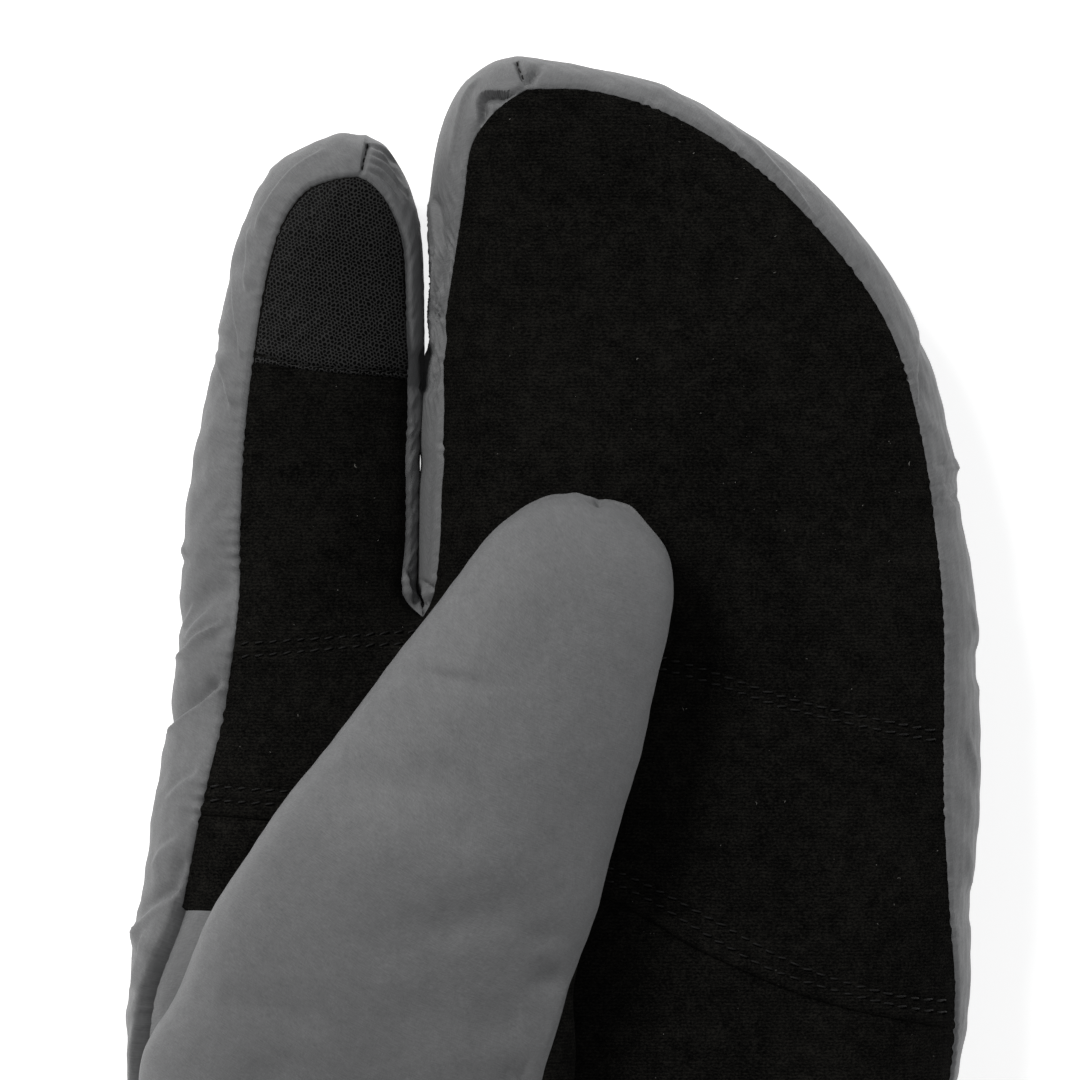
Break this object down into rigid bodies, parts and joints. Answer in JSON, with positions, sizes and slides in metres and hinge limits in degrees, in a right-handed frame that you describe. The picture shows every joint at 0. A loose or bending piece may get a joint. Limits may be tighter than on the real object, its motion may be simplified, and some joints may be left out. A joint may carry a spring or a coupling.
{
  "type": "lobster claw mitt",
  "caption": "Padded left-hand winter mitt with a separate index finger, a shared compartment for the other fingers, a thumb folded over the palm and a plain cuff.",
  "frame": {"origin": "under the middle of the mitt, on the plane that it lies on", "axes": "+X towards the little finger, +Y from the cuff to the fingertips, +Z out of the palm"},
  "size_m": [0.1421, 0.29, 0.0638],
  "materials": {
    "grey_shell": "finely woven grey nylon with a faint sheen",
    "black_palm": "matt black knit",
    "black_leather": "pebbled black leather"
  },
  "bodies": {
    "root": {"back_shell": "grey_shell", "fork_gusset": "grey_shell", "thumb_gusset": "grey_shell", "thumb_back": "grey_shell", "cuff": "grey_shell", "palm_fingers": "black_palm", "palm_knuckles": "black_palm", "palm_heel": "black_palm", "thumb_grip": "black_palm", "index_patch": "black_leather"}
  },
  "joints": []
}
